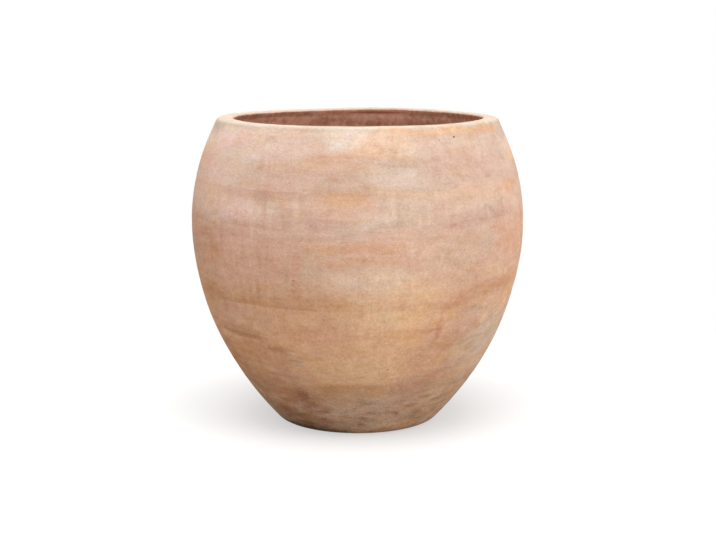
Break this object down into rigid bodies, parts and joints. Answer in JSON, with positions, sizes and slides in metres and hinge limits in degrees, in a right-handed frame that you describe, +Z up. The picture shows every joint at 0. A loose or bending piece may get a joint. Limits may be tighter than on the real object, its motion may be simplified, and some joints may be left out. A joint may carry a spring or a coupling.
{
  "type": "planter",
  "caption": "Round-bellied terracotta planter with an in-curving shoulder, softened plain rim, narrow foot and a drain hole in the floor, for growing a shrub or small tree.",
  "frame": {"origin": "centre of the foot, on the ground", "axes": "+Z up the pot's axis; the pot is round, and -Y is the side that the picture shows"},
  "size_m": [0.6, 0.6, 0.55],
  "materials": {
    "terracotta": "unglazed fired clay, matt, wiped level, with pale lime bloom on the shoulder and rim and earth stain toward the foot"
  },
  "bodies": {
    "root": {"floor_slab": "terracotta", "foot_course": "terracotta", "flank_course": "terracotta", "lower_belly_course": "terracotta", "upper_belly_course": "terracotta", "shoulder_course": "terracotta", "rim_coil": "terracotta"}
  },
  "joints": []
}
